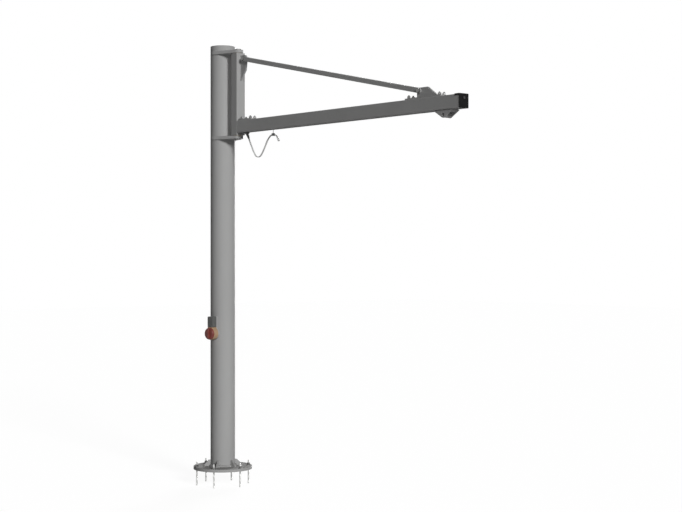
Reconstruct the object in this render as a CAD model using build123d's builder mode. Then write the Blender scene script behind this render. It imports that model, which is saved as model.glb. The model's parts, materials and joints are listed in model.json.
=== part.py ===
from build123d import *
import math
import os

# Pillar jib crane. Millimetres. The origin is on the column's axis at the underside of the base plate,
# +X points along the jib at rest and +Z points up.

# Foot and anchors
base_diameter = 400.0
base_thickness = 20.0
base_chamfer = 2.0
anchor_count = 6
anchor_turn = 5.0
anchor_edge = 20.0
anchor_diameter = 12.0
anchor_thread = 10.9
anchor_hole = 14.0
anchor_depth = 110.0
anchor_standout = 32.0
anchor_point = 3.0
washer_diameter = 24.0
washer_thickness = 2.5
washer_bore = 13.0
nut_across_flats = 18.0
nut_height = 10.8

# Column
column_diameter = 168.3
column_wall = 5.0
column_length = 2869.0
weld_leg = 12.0
rib_height = 42.0
rib_reach = 45.0
rib_top = 14.0
rib_thickness = 10.0
cap_flange = 5.0
cap_edge = 3.0
cap_spigot = 18.0
cap_clearance = 0.25

# Pivot lugs and bushes
lower_lug_drop = 637.0
lug_thickness = 20.0
lug_overhang = 7.0
lug_end_radius = 35.0
pivot_reach = 177.0
pivot_diameter = 30.0
pivot_clearance = 0.05
bush_wall = 4.0
bush_flange = 3.0
bush_flange_rim = 8.0
seat_clearance = 0.02
running_gap = 0.3
pivot_weld_depth = 14.0
pivot_nut_diameter = 46.0
pivot_nut_height = 6.0
pivot_nut_slots = 4
pivot_nut_slot = 6.0
pivot_end = 1.5

# Mast
mast_width = 70.0
mast_height = 554.0
mast_wall = 5.0
mast_corner = 8.0
mast_plate = 8.0

# Beam, a hollow track with a slot along its underside
beam_width = 70.0
beam_height = 80.0
beam_wall = 4.5
beam_roof = 5.0
beam_corner = 3.0
track_lip = 6.0
track_slot = 24.0
beam_rise = 14.7
beam_length = 2109.0

# Bolted plates on the beam
plate_width = 62.0
plate_thickness = 8.0
plate_corner = 6.0
bolt_diameter = 12.0
bolt_clearance = 0.75
bolt_thread_end = 6.0
bolt_gauge = 36.0
bolt_tail = 3.0
nut_strip_thickness = 8.0
nut_strip_width = 52.0
root_bolt_inset = 33.0
root_bolt_pitch = 96.0
root_plate_edge = 23.0
bracket_length = 307.0
bracket_end = 149.0
bracket_bolt_inset = 25.0
lower_pin_inset = 104.0

# Tie rod
tie_pin_diameter = 16.0
tie_plate_thickness = 12.0
fork_gap = 0.5
fork_slot = 46.0
fork_length = 82.0
fork_spigot = 24.0
spigot_clearance = 0.25
rod_width = 30.0
rod_wall = 3.0
rod_corner = 3.0
upper_pin_reach = 40.0
upper_pin_drop = 45.0
lower_pin_rise = 48.5
tie_lug_nose = 27.0
tie_lug_toe = 12.0
tie_lug_toe_reach = 46.0
tie_lug_toe_drop = 70.0
tie_lug_length = 168.0
tie_lug_root = 4.0
gusset_back = 23.0
gusset_front = 66.0
gusset_toe = 150.0
gusset_cover = 18.0
tie_head_flats = 24.0
tie_head_height = 10.0
tie_nut_height = 13.0
tie_thread_end = 4.0

# End cap and buffer
end_plate = 4.0
end_overhang = 2.0
end_hood_rise = 3.0
end_hood_skirt = 8.0
end_hood_length = 35.0
end_plug = 22.0
end_plug_wall = 4.0
end_clearance = 0.3
end_corner = 4.0
end_screw_diameter = 15.0
end_screw_height = 4.0
end_screw_drop = 22.0
end_screw_recess = 6.0
end_screw_shank = 8.0
buffer_diameter = 28.0

# Load trolley
trolley_inset = 135.0
trolley_web = 16.0
trolley_web_half = 75.0
trolley_wing_half = 72.0
trolley_wing_drop = 2.0
trolley_foot_drop = 46.0
trolley_bridge = 12.0
cheek_reach = 30.0
cheek_thickness = 8.0
cheek_nose = 18.0
cheek_root = 4.0
load_tube = 34.0
load_eye_diameter = 18.0
trolley_roof_gap = 35.0
trolley_axle_half = 50.0
trolley_axle_diameter = 12.0
trolley_roof_round = 10.0
trolley_wheel_diameter = 36.0
trolley_wheel_width = 14.0
wheel_inset = 12.5
wheel_rim = 4.0
wheel_hub_wall = 3.0
wheel_chamfer = 0.8
wheel_gap = 0.3
wheel_groove = 3.0
axle_play = 0.5
axle_head = 2.0
axle_head_rim = 3.0

# Cable trolley
cable_trolley_reach = 391.0
cable_axle_half = 17.0
cable_axle_diameter = 6.0
cable_wheel_diameter = 24.0
cable_wheel_width = 10.0
cable_frame_half = 26.0
cable_frame_thickness = 10.0
cable_frame_rise = 10.0
cable_frame_round = 4.0
cable_stem = 4.0
clamp_diameter = 22.0
clamp_height = 5.0
saddle_height = 5.0
saddle_screw_diameter = 3.0
saddle_screw_gauge = 16.4
saddle_screw_clearance = 0.2
saddle_screw_head = 5.5
saddle_screw_head_height = 2.0
saddle_screw_grip = 4.0

# Festoon cable, a flat cable that hangs in a loop in the plane of the jib. Route points are (x, z).
cable_width = 12.0
cable_thickness = 4.0
cable_gap = 0.8
cable_route = [
    (286.0, 2271.5),
    (298.0, 2249.0),
    (319.0, 2211.0),
    (352.0, 2157.0),
    (384.0, 2116.0),
    (426.0, 2116.0),
    (459.0, 2152.0),
    (484.0, 2188.0),
    (506.0, 2222.0),
    (532.0, 2246.0),
    (556.0, 2256.0),
    (582.0, 2255.0),
    (600.0, 2247.0),
    (611.0, 2237.0),
    (618.0, 2226.0),
]
cable_arc_share = 0.45
arch_radius = 60.0
gland_back = 31.0
gland_width = 30.0
gland_foot = 8.0
gland_heel = 1.5
gland_nose = 17.0
gland_face = 14.0
gland_collar = 4.0
gland_collar_wall = 2.0
gland_round = 4.0
gland_screw_inset = 12.0
gland_screw_diameter = 6.0
gland_screw_flats = 10.0
gland_screw_head = 4.0
gland_plate_size = 40.0
gland_plate_thickness = 5.0
connector_diameter = 13.0
connector_length = 18.0
connector_ring = 2.0
connector_socket = 7.0
connector_socket_depth = 8.0

# Main switch on the column's side: a rotary switch in its housing, with a terminal box above it
switch_angle = -78.0
switch_height = 930.0
switch_stand = 6.0
switch_depth = 38.0
switch_wall = 3.0
switch_corner = 6.0
switch_rim = 2.0
housing_diameter = 84.0
housing_neck = 1.0
terminal_width = 48.0
terminal_length = 73.0
terminal_lid = 4.0
block_size = 40.0
block_depth = 20.0
spindle_diameter = 8.0
spindle_grip = 16.0
spindle_clearance = 0.05
rosette_diameter = 80.0
rosette_height = 14.0
rosette_round = 6.0
grip_length = 60.0
grip_width = 18.0
grip_height = 10.0
grip_round = 5.0
handle_gap = 0.3
screw_diameter = 4.0
screw_grip = 4.0
screw_head = 7.0
screw_head_height = 2.5
screw_inset = 7.0
screw_boss = 8.5
housing_screw_gauge = 51.0
screw_clearance = 0.2

# Levels and places that follow from the sizes above
anchor_radius = base_diameter / 2 - anchor_edge
column_radius = column_diameter / 2
column_bore = column_radius - column_wall
column_top = base_thickness + column_length
lower_lug_base = column_top - lower_lug_drop
lower_lug_top = lower_lug_base + lug_thickness
mast_bottom = lower_lug_top + bush_flange + running_gap
mast_top = mast_bottom + mast_height
upper_lug_base = mast_top + running_gap + bush_flange
upper_lug_top = upper_lug_base + lug_thickness
mast_front = pivot_reach + mast_width / 2
bush_bore = pivot_diameter / 2 + pivot_clearance
bush_radius = bush_bore + bush_wall
beam_bottom = mast_bottom + beam_rise
beam_top = beam_bottom + beam_height
beam_end = mast_front + beam_length
beam_middle = beam_bottom + beam_height / 2
track_floor = beam_bottom + track_lip
track_roof = beam_top - beam_roof
plate_top = beam_top + plate_thickness
root_plate_length = root_bolt_inset + root_bolt_pitch + root_plate_edge
upper_pin = Vector(mast_front + upper_pin_reach, 0, mast_top - upper_pin_drop)
bracket_start = beam_end - bracket_end - bracket_length
lower_pin = Vector(bracket_start + lower_pin_inset, 0, beam_top + lower_pin_rise)
rod_direction = (lower_pin - upper_pin).normalized()
rod_span = (lower_pin - upper_pin).length
rod_half = rod_width / 2
rod_bore = rod_width - 2 * rod_wall
trolley_place = beam_end - trolley_inset
trolley_axle_level = track_floor + wheel_gap + trolley_wheel_diameter / 2
cable_place = pivot_reach + cable_trolley_reach
cable_axle_level = track_floor + wheel_gap + cable_wheel_diameter / 2


def export(builder, name):
    """Label a finished piece and write it under its own name."""
    builder.part.label = name
    export_step(builder.part, f"parts/{name}.step")


# Base plate: a round plate with a ring of anchor holes
with BuildPart() as base_plate:
    with BuildSketch():
        Circle(base_diameter / 2)
        with PolarLocations(anchor_radius, anchor_count, anchor_turn):
            Circle(anchor_hole / 2, mode=Mode.SUBTRACT)
    extrude(amount=base_thickness)
    rims = base_plate.edges().filter_by(GeomType.CIRCLE).group_by(SortBy.RADIUS)[-1]
    chamfer(rims.sort_by(Axis.Z).last, base_chamfer)
export(base_plate, "base_plate")

# Column: a pipe with the fillet weld at its foot
with BuildPart() as column:
    with BuildSketch(Plane.XZ):
        with BuildLine():
            Polyline(
                (column_bore, base_thickness),
                (column_radius + weld_leg, base_thickness),
                (column_radius, base_thickness + weld_leg),
                (column_radius, column_top),
                (column_bore, column_top),
                close=True,
            )
        make_face()
    revolve(axis=Axis.Z)
export(column, "column")

# Foot ribs: one beside each anchor, sniped at the corner to pass the weld
with BuildPart() as foot_ribs:
    for place in PolarLocations(0, anchor_count, anchor_turn):
        with BuildSketch(Plane(place) * Plane.XZ):
            with BuildLine():
                Polyline(
                    (column_radius, base_thickness + weld_leg + rib_thickness / 4),
                    (column_radius, base_thickness + rib_height),
                    (column_radius + rib_top, base_thickness + rib_height),
                    (column_radius + rib_reach, base_thickness + rib_thickness),
                    (column_radius + rib_reach, base_thickness),
                    (column_radius + weld_leg + rib_thickness / 4, base_thickness),
                    close=True,
                )
            make_face()
        extrude(amount=rib_thickness / 2, both=True)
    split(bisect_by=Plane.XY.offset(base_thickness), keep=Keep.TOP)
    with BuildSketch(Plane.XY.offset(base_thickness)):
        Circle(column_radius + seat_clearance)
    extrude(amount=rib_height, mode=Mode.SUBTRACT)
export(foot_ribs, "foot_ribs")

# Anchor studs, thinner where the thread starts, with their washers and nuts on the plate
with BuildPart() as anchor_studs:
    with BuildSketch():
        with PolarLocations(anchor_radius, anchor_count, anchor_turn):
            Circle(anchor_diameter / 2)
    extrude(amount=-anchor_depth)
    with BuildSketch():
        with PolarLocations(anchor_radius, anchor_count, anchor_turn):
            Circle(anchor_thread / 2)
    extrude(amount=base_thickness + anchor_standout)
    tips = anchor_studs.edges().filter_by(GeomType.CIRCLE).group_by(Axis.Z)
    chamfer(tips[0] + tips[-1], anchor_point / 2, anchor_point / 2)
export(anchor_studs, "anchor_studs")

with BuildPart() as anchor_washers:
    with BuildSketch(Plane.XY.offset(base_thickness)):
        with PolarLocations(anchor_radius, anchor_count, anchor_turn):
            Circle(washer_diameter / 2)
            Circle(washer_bore / 2, mode=Mode.SUBTRACT)
    extrude(amount=washer_thickness)
export(anchor_washers, "anchor_washers")

with BuildPart() as anchor_nuts:
    with BuildSketch(Plane.XY.offset(base_thickness + washer_thickness)):
        with PolarLocations(anchor_radius, anchor_count, anchor_turn):
            RegularPolygon(nut_across_flats / 2, 6, major_radius=False)
            Circle(anchor_thread / 2 + seat_clearance, mode=Mode.SUBTRACT)
    extrude(amount=nut_height)
export(anchor_nuts, "anchor_nuts")

# Column cap: a lid with a spigot that drops into the pipe
with BuildPart() as column_cap:
    with BuildSketch(Plane.XY.offset(column_top)):
        Circle(column_radius)
    extrude(amount=cap_flange)
    fillet(column_cap.edges().filter_by(GeomType.CIRCLE).sort_by(Axis.Z).last, cap_edge)
    with BuildSketch(Plane.XY.offset(column_top)):
        Circle(column_bore - cap_clearance)
        Circle(column_bore - cap_clearance - column_wall, mode=Mode.SUBTRACT)
    extrude(amount=-cap_spigot)
export(column_cap, "column_cap")


def pivot_lug(level):
    """A tapered plate that clasps half the column, with a bore for its bush."""
    with BuildPart() as lug:
        with BuildSketch(Plane.XY.offset(level)):
            Circle(column_radius + lug_overhang)
            with Locations((pivot_reach, 0)):
                Circle(lug_end_radius)
            make_hull()
            Circle(column_radius + seat_clearance, mode=Mode.SUBTRACT)
            with Locations((pivot_reach, 0)):
                Circle(bush_radius + seat_clearance, mode=Mode.SUBTRACT)
        extrude(amount=lug_thickness)
        split(bisect_by=Plane.YZ, keep=Keep.TOP)
    return lug


def pivot_bush(level, flange_level):
    """A plain bearing bush that fills the lug's bore, with a thrust flange on the mast's side."""
    with BuildPart() as bush:
        with BuildSketch(Plane.XY.offset(level)):
            with Locations((pivot_reach, 0)):
                Circle(bush_radius)
                Circle(bush_bore, mode=Mode.SUBTRACT)
        extrude(amount=lug_thickness)
        with BuildSketch(Plane.XY.offset(flange_level)):
            with Locations((pivot_reach, 0)):
                Circle(bush_radius + bush_flange_rim)
                Circle(bush_bore, mode=Mode.SUBTRACT)
        extrude(amount=bush_flange)
    return bush


export(pivot_lug(upper_lug_base), "upper_lug")
export(pivot_lug(lower_lug_base), "lower_lug")
export(pivot_bush(upper_lug_base, upper_lug_base - bush_flange), "upper_bush")
export(pivot_bush(lower_lug_base, lower_lug_top), "lower_bush")

# Mast: a square tube between two end plates that carry the pivots
with BuildPart() as mast:
    with BuildSketch(Plane.XY.offset(mast_bottom + mast_plate)):
        with Locations((pivot_reach, 0)):
            RectangleRounded(mast_width, mast_width, mast_corner)
            RectangleRounded(
                mast_width - 2 * mast_wall,
                mast_width - 2 * mast_wall,
                mast_corner - mast_wall,
                mode=Mode.SUBTRACT,
            )
    extrude(amount=mast_height - 2 * mast_plate)
export(mast, "mast")


def mast_end_plate(level):
    """A plate that closes the mast and holds a pivot."""
    with BuildPart() as plate:
        with BuildSketch(Plane.XY.offset(level)):
            with Locations((pivot_reach, 0)):
                RectangleRounded(mast_width, mast_width, mast_corner)
                Circle(pivot_diameter / 2 + seat_clearance, mode=Mode.SUBTRACT)
        extrude(amount=mast_plate)
    return plate


def pivot_pin(low, high):
    """A round pivot with chamfered ends."""
    with BuildPart() as pin:
        with BuildSketch(Plane.XY.offset(low)):
            with Locations((pivot_reach, 0)):
                Circle(pivot_diameter / 2)
        extrude(amount=high - low)
        chamfer(pin.edges().filter_by(GeomType.CIRCLE), pivot_end / 2)
    return pin


export(mast_end_plate(mast_bottom), "mast_bottom_plate")
export(mast_end_plate(mast_top - mast_plate), "mast_top_plate")
lower_nut_level = lower_lug_base - running_gap - pivot_nut_height
upper_nut_level = upper_lug_top + running_gap
export(
    pivot_pin(lower_nut_level - pivot_end, mast_bottom + mast_plate + pivot_weld_depth),
    "lower_pivot",
)
export(
    pivot_pin(mast_top - mast_plate - pivot_weld_depth, upper_nut_level + pivot_nut_height + pivot_end),
    "upper_pivot",
)

# Slotted round nuts that keep the pivots in their lugs
with BuildPart() as pivot_nuts:
    for nut_level in (lower_nut_level, upper_nut_level):
        with BuildSketch(Plane.XY.offset(nut_level)):
            with Locations((pivot_reach, 0)):
                Circle(pivot_nut_diameter / 2)
                Circle(pivot_diameter / 2 + seat_clearance, mode=Mode.SUBTRACT)
                with PolarLocations(pivot_nut_diameter / 2, pivot_nut_slots):
                    Rectangle(pivot_nut_slot, pivot_nut_slot, mode=Mode.SUBTRACT)
        extrude(amount=pivot_nut_height)
export(pivot_nuts, "pivot_nuts")

# Beam: one extruded track profile
bolt_hole = bolt_diameter / 2 + bolt_clearance
strip_hole = bolt_diameter / 2 + seat_clearance
strip_level = track_roof - nut_strip_thickness
root_bolt_places = [mast_front + root_bolt_inset, mast_front + root_bolt_inset + root_bolt_pitch]
bracket_bolt_places = [
    bracket_start + bracket_bolt_inset,
    bracket_start + bracket_length - bracket_bolt_inset,
]
with BuildPart() as beam:
    with BuildSketch(Plane.YZ.offset(mast_front)):
        with Locations((0, beam_middle)):
            RectangleRounded(beam_width, beam_height, beam_corner)
        with Locations((0, (track_floor + track_roof) / 2)):
            Rectangle(beam_width - 2 * beam_wall, track_roof - track_floor, mode=Mode.SUBTRACT)
        with Locations((0, beam_bottom + track_lip / 2)):
            Rectangle(track_slot, track_lip, mode=Mode.SUBTRACT)
    extrude(amount=beam_length)
    with BuildSketch(Plane.XY.offset(track_roof)):
        for bolt_place in root_bolt_places + bracket_bolt_places:
            with Locations((bolt_place, bolt_gauge / 2), (bolt_place, -bolt_gauge / 2)):
                Circle(bolt_hole)
    extrude(amount=beam_roof, mode=Mode.SUBTRACT)
export(beam, "beam")


def bolted_strip(start, length, low, width, thickness, corner, places, hole):
    """A flat strip along the beam with a hole for each bolt of its pairs."""
    with BuildPart() as strip:
        with BuildSketch(Plane.XY.offset(low)):
            with Locations((start + length / 2, 0)):
                RectangleRounded(length, width, corner)
            for place in places:
                with Locations((place, bolt_gauge / 2), (place, -bolt_gauge / 2)):
                    Circle(hole, mode=Mode.SUBTRACT)
        extrude(amount=thickness)
    return strip


def plate_studs(places):
    """Pairs of studs through a plate and the beam's roof into a nut strip, with a flange nut on each."""
    ends = [(place, side) for place in places for side in (bolt_gauge / 2, -bolt_gauge / 2)]
    with BuildPart() as studs:
        with BuildSketch(Plane.XY.offset(plate_top)):
            with Locations(*ends):
                Circle(washer_diameter / 2)
        extrude(amount=washer_thickness)
        with BuildSketch(Plane.XY.offset(plate_top + washer_thickness)):
            with Locations(*ends):
                RegularPolygon(nut_across_flats / 2, 6, major_radius=False)
        extrude(amount=nut_height)
        with BuildSketch(Plane.XY.offset(plate_top)):
            with Locations(*ends):
                Circle(strip_hole)
        extrude(amount=washer_thickness + nut_height, mode=Mode.SUBTRACT)
        with BuildSketch(Plane.XY.offset(strip_level - bolt_tail)):
            with Locations(*ends):
                Circle(bolt_diameter / 2)
        extrude(amount=plate_top + washer_thickness + nut_height + bolt_thread_end - strip_level + bolt_tail)
        tops = studs.edges().filter_by(GeomType.CIRCLE).group_by(Axis.Z)[-1]
        chamfer(tops, bolt_clearance)
    return studs


# Root plate: welded to the mast, it clamps the beam's inner end
export(
    bolted_strip(mast_front, root_plate_length, beam_top, plate_width, plate_thickness, plate_corner,
                 root_bolt_places, bolt_hole),
    "root_plate",
)
export(plate_studs(root_bolt_places), "root_bolts")
export(
    bolted_strip(mast_front + plate_corner, root_plate_length - 2 * plate_corner, strip_level,
                 nut_strip_width, nut_strip_thickness, plate_corner, root_bolt_places, strip_hole),
    "root_nut_strip",
)

# Tie bracket: a foot plate on the beam with a gusset that holds the rod's outer pin
with BuildPart() as tie_bracket:
    with BuildSketch(Plane.XY.offset(beam_top)):
        with Locations((bracket_start + bracket_length / 2, 0)):
            RectangleRounded(bracket_length, plate_width, plate_corner)
        for bracket_place in bracket_bolt_places:
            with Locations((bracket_place, bolt_gauge / 2), (bracket_place, -bolt_gauge / 2)):
                Circle(bolt_hole, mode=Mode.SUBTRACT)
    extrude(amount=plate_thickness)
    with BuildSketch(Plane.XZ):
        with BuildLine():
            Polyline(
                (lower_pin.X - gusset_back, plate_top),
                (lower_pin.X - gusset_back, lower_pin.Z + gusset_cover),
                (lower_pin.X + gusset_front, lower_pin.Z + gusset_cover),
                (lower_pin.X + gusset_toe, plate_top),
                close=True,
            )
        make_face()
        with Locations((lower_pin.X, lower_pin.Z)):
            Circle(tie_pin_diameter / 2 + seat_clearance, mode=Mode.SUBTRACT)
    extrude(amount=tie_plate_thickness / 2, both=True)
export(tie_bracket, "tie_bracket")
export(plate_studs(bracket_bolt_places), "bracket_bolts")
export(
    bolted_strip(bracket_start + plate_corner, bracket_length - 2 * plate_corner, strip_level,
                 nut_strip_width, nut_strip_thickness, plate_corner, bracket_bolt_places, strip_hole),
    "bracket_nut_strip",
)

# Tie lug: a deep plate on the mast's front that holds the rod's inner pin and tapers back to its toe
with BuildPart() as tie_lug:
    with BuildSketch(Plane.XZ):
        with Locations((upper_pin.X, upper_pin.Z)):
            Circle(tie_lug_nose)
        with Locations((mast_front + tie_lug_toe_reach, upper_pin.Z - tie_lug_toe_drop)):
            Circle(tie_lug_toe)
        with Locations((mast_front + tie_lug_root / 2, upper_pin.Z + tie_lug_nose - tie_lug_length / 2)):
            Rectangle(tie_lug_root, tie_lug_length)
        make_hull()
        with Locations((upper_pin.X, upper_pin.Z)):
            Circle(tie_pin_diameter / 2 + seat_clearance, mode=Mode.SUBTRACT)
    extrude(amount=tie_plate_thickness / 2, both=True)
export(tie_lug, "tie_lug")


def fork_end(pin, direction):
    """A forked end as wide as the rod, with a pin hole at its tip and a spigot for the rod's tube."""
    side = Plane(origin=pin, x_dir=direction, z_dir=(0, -1, 0))
    shoulder = Plane(origin=pin + direction * fork_length, x_dir=(0, 1, 0), z_dir=direction)
    with BuildPart() as fork:
        with BuildSketch(side):
            Circle(rod_half)
            with Locations((fork_length / 2, 0)):
                Rectangle(fork_length, rod_width)
        extrude(amount=rod_half, both=True)
        with BuildSketch(side):
            with Locations(((fork_slot - rod_width) / 2, 0)):
                Rectangle(fork_slot + rod_width, 2 * rod_width)
        extrude(amount=tie_plate_thickness / 2 + fork_gap, both=True, mode=Mode.SUBTRACT)
        with BuildSketch(side):
            Circle(tie_pin_diameter / 2 + seat_clearance)
        extrude(amount=rod_half, both=True, mode=Mode.SUBTRACT)
        with BuildSketch(shoulder):
            Rectangle(rod_bore - 2 * spigot_clearance, rod_bore - 2 * spigot_clearance)
        extrude(amount=fork_spigot)
    return fork


def tie_bolt(pin):
    """A hexagon bolt across a fork, its head on the -Y side."""
    near = Plane(origin=pin + Vector(0, -rod_half, 0), x_dir=(1, 0, 0), z_dir=(0, 1, 0))
    with BuildPart() as bolt:
        with BuildSketch(near):
            Circle(tie_pin_diameter / 2)
        extrude(amount=2 * rod_half + tie_nut_height + tie_thread_end)
        chamfer(bolt.edges().filter_by(GeomType.CIRCLE).sort_by(Axis.Y).last, tie_thread_end / 3)
        with BuildSketch(near):
            RegularPolygon(tie_head_flats / 2, 6, major_radius=False)
        extrude(amount=-tie_head_height)
    return bolt


def tie_nut(pin):
    """The nut on the far side of a fork."""
    far = Plane(origin=pin + Vector(0, rod_half, 0), x_dir=(1, 0, 0), z_dir=(0, 1, 0))
    with BuildPart() as nut:
        with BuildSketch(far):
            RegularPolygon(tie_head_flats / 2, 6, major_radius=False)
            Circle(tie_pin_diameter / 2 + seat_clearance, mode=Mode.SUBTRACT)
        extrude(amount=tie_nut_height)
    return nut


export(fork_end(upper_pin, rod_direction), "upper_clevis")
export(fork_end(lower_pin, -rod_direction), "lower_clevis")
export(tie_bolt(upper_pin), "upper_tie_bolt")
export(tie_bolt(lower_pin), "lower_tie_bolt")
export(tie_nut(upper_pin), "upper_tie_nut")
export(tie_nut(lower_pin), "lower_tie_nut")

# Tie rod: a square tube between the two forks
rod_start = upper_pin + rod_direction * fork_length
with BuildPart() as tie_rod:
    with BuildSketch(Plane(origin=rod_start, x_dir=(0, 1, 0), z_dir=rod_direction)):
        RectangleRounded(rod_width, rod_width, rod_corner)
        Rectangle(rod_bore, rod_bore, mode=Mode.SUBTRACT)
    extrude(amount=rod_span - 2 * fork_length)
export(tie_rod, "tie_rod")

# End cap: a plate over the beam's outer end, with a hood on the roof and a hollow plug in the track
track_middle = (track_floor + track_roof) / 2
plug_width = beam_width - 2 * beam_wall - 2 * end_clearance
plug_height = track_roof - track_floor - 2 * end_clearance
screw_level = beam_top - end_screw_drop
with BuildPart() as end_cap:
    with BuildSketch(Plane.YZ.offset(beam_end)):
        with Locations((0, beam_middle + end_hood_rise / 2)):
            RectangleRounded(beam_width + 2 * end_overhang, beam_height + end_hood_rise, end_corner)
    extrude(amount=end_plate)
    fillet(end_cap.faces().sort_by(Axis.X).last.edges(), end_corner / 2)
    with BuildSketch(Plane.YZ.offset(beam_end)):
        with Locations((0, beam_top + (end_hood_rise - end_hood_skirt) / 2)):
            Rectangle(beam_width + 2 * end_overhang, end_hood_rise + end_hood_skirt)
        with Locations((0, beam_middle)):
            RectangleRounded(
                beam_width + 2 * end_clearance,
                beam_height + 2 * end_clearance,
                beam_corner,
                mode=Mode.SUBTRACT,
            )
    extrude(amount=-end_hood_length)
    with BuildSketch(Plane.YZ.offset(beam_end)):
        with Locations((0, track_middle)):
            Rectangle(plug_width, plug_height)
    extrude(amount=-end_plug)
    with BuildSketch(Plane.YZ.offset(beam_end)):
        with Locations((0, track_middle)):
            Rectangle(plug_width - 2 * end_plug_wall, plug_height - 2 * end_plug_wall)
        with Locations((0, screw_level)):
            Circle(end_screw_diameter / 2, mode=Mode.SUBTRACT)
    extrude(amount=end_plug_wall - end_plug, mode=Mode.SUBTRACT)
    with BuildSketch(Plane.YZ.offset(beam_end - end_plug + end_plug_wall)):
        with Locations((0, screw_level)):
            Circle(end_screw_shank / 2 + seat_clearance)
    extrude(amount=end_plug + end_plate, mode=Mode.SUBTRACT)
export(end_cap, "end_cap")

with BuildPart() as cap_screw:
    with BuildSketch(Plane.YZ.offset(beam_end - end_plug + end_plug_wall)):
        with Locations((0, screw_level)):
            Circle(end_screw_shank / 2)
    extrude(amount=end_plug - end_plug_wall + end_plate)
    with BuildSketch(Plane.YZ.offset(beam_end + end_plate)):
        with Locations((0, screw_level)):
            Circle(end_screw_diameter / 2)
    extrude(amount=end_screw_height)
    fillet(cap_screw.faces().sort_by(Axis.X).last.edges(), end_screw_height / 4)
    with BuildSketch(Plane.YZ.offset(beam_end + end_plate + end_screw_height)):
        with Locations((0, screw_level)):
            RegularPolygon(end_screw_recess / 2, 6, major_radius=False)
    extrude(amount=-end_screw_height / 2, mode=Mode.SUBTRACT)
export(cap_screw, "cap_screw")

# Outer buffer: a rubber block that stops the load trolley
trolley_front = trolley_place + trolley_web_half
with BuildPart() as outer_buffer:
    with BuildSketch(Plane.YZ.offset(trolley_front + running_gap)):
        with Locations((0, trolley_axle_level)):
            Circle(buffer_diameter / 2)
    extrude(amount=beam_end - end_plug - trolley_front - running_gap)
    fillet(outer_buffer.faces().sort_by(Axis.X).first.edges(), buffer_diameter / 7)
export(outer_buffer, "outer_buffer")

# Load trolley: a web through the slot and a bridge with two pointed cheeks,
# which the load tube joins at their tips
wing_level = beam_bottom - trolley_wing_drop
eye_level = beam_bottom - trolley_foot_drop + cheek_nose
web_top = track_roof - trolley_roof_gap
axle_places = [trolley_place - trolley_axle_half, trolley_place + trolley_axle_half]
with BuildPart() as trolley_plate:
    with BuildSketch(Plane.XZ):
        with Locations((trolley_place, wing_level - cheek_root / 2)):
            Rectangle(2 * trolley_wing_half, cheek_root)
        with Locations((trolley_place, eye_level)):
            Circle(cheek_nose)
        make_hull()
    extrude(amount=cheek_reach, both=True)
    with BuildSketch(Plane.XZ):
        with Locations((trolley_place, wing_level - trolley_bridge - cheek_nose)):
            Rectangle(2 * trolley_wing_half, 2 * cheek_nose)
        with Locations((trolley_place, eye_level)):
            Circle(load_tube / 2, mode=Mode.SUBTRACT)
    extrude(amount=cheek_reach - cheek_thickness, both=True, mode=Mode.SUBTRACT)
    with BuildSketch(Plane.XZ):
        with Locations((trolley_place, eye_level)):
            Circle(load_eye_diameter / 2)
    extrude(amount=cheek_reach, both=True, mode=Mode.SUBTRACT)
    with BuildSketch(Plane.XZ) as web_outline:
        with Locations((trolley_place, (wing_level + web_top) / 2)):
            Rectangle(2 * trolley_web_half, web_top - wing_level)
        fillet(web_outline.vertices().group_by(Axis.Y)[-1], trolley_roof_round)
        for axle_place in axle_places:
            with Locations((axle_place, trolley_axle_level)):
                Circle(trolley_axle_diameter / 2 + seat_clearance, mode=Mode.SUBTRACT)
    extrude(amount=trolley_web / 2, both=True)
export(trolley_plate, "trolley_plate")


def axle_pair(places, level, diameter, reach):
    """Two plain axles across a trolley, each with a riveted head at both ends."""
    with BuildPart() as axles:
        with BuildSketch(Plane.XZ):
            for place in places:
                with Locations((place, level)):
                    Circle(diameter / 2)
        extrude(amount=reach + axle_head, both=True)
        for end in (Plane.XZ.offset(reach), Plane.XZ.offset(-reach - axle_head)):
            with BuildSketch(end):
                for place in places:
                    with Locations((place, level)):
                        Circle(diameter / 2 + axle_head_rim)
            extrude(amount=axle_head)
    return axles


def wheel_pair(place, level, diameter, width, axle, plate_half):
    """The two wheels of one axle, each with an inner hub and a hollow outer face."""
    outer = wheel_inset + width
    with BuildPart() as wheels:
        with BuildSketch(Plane.XZ):
            with Locations((place, level)):
                Circle(diameter / 2)
        extrude(amount=outer, both=True)
        chamfer(wheels.edges().filter_by(GeomType.CIRCLE), wheel_chamfer)
        with BuildSketch(Plane.XZ):
            with Locations((place, level)):
                Circle(diameter / 2)
                Circle(axle / 2 + wheel_hub_wall, mode=Mode.SUBTRACT)
        extrude(amount=wheel_inset, both=True, mode=Mode.SUBTRACT)
        with BuildSketch(Plane.XZ):
            with Locations((place, level)):
                Circle(diameter / 2)
        extrude(amount=plate_half + running_gap, both=True, mode=Mode.SUBTRACT)
        for hollow in (Plane.XZ.offset(outer - wheel_groove), Plane.XZ.offset(-outer)):
            with BuildSketch(hollow):
                with Locations((place, level)):
                    Circle(diameter / 2 - wheel_rim)
                    Circle(axle / 2 + wheel_hub_wall, mode=Mode.SUBTRACT)
            extrude(amount=wheel_groove, mode=Mode.SUBTRACT)
        with BuildSketch(Plane.XZ):
            with Locations((place, level)):
                Circle(axle / 2 + pivot_clearance)
        extrude(amount=outer, both=True, mode=Mode.SUBTRACT)
    return wheels


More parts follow.
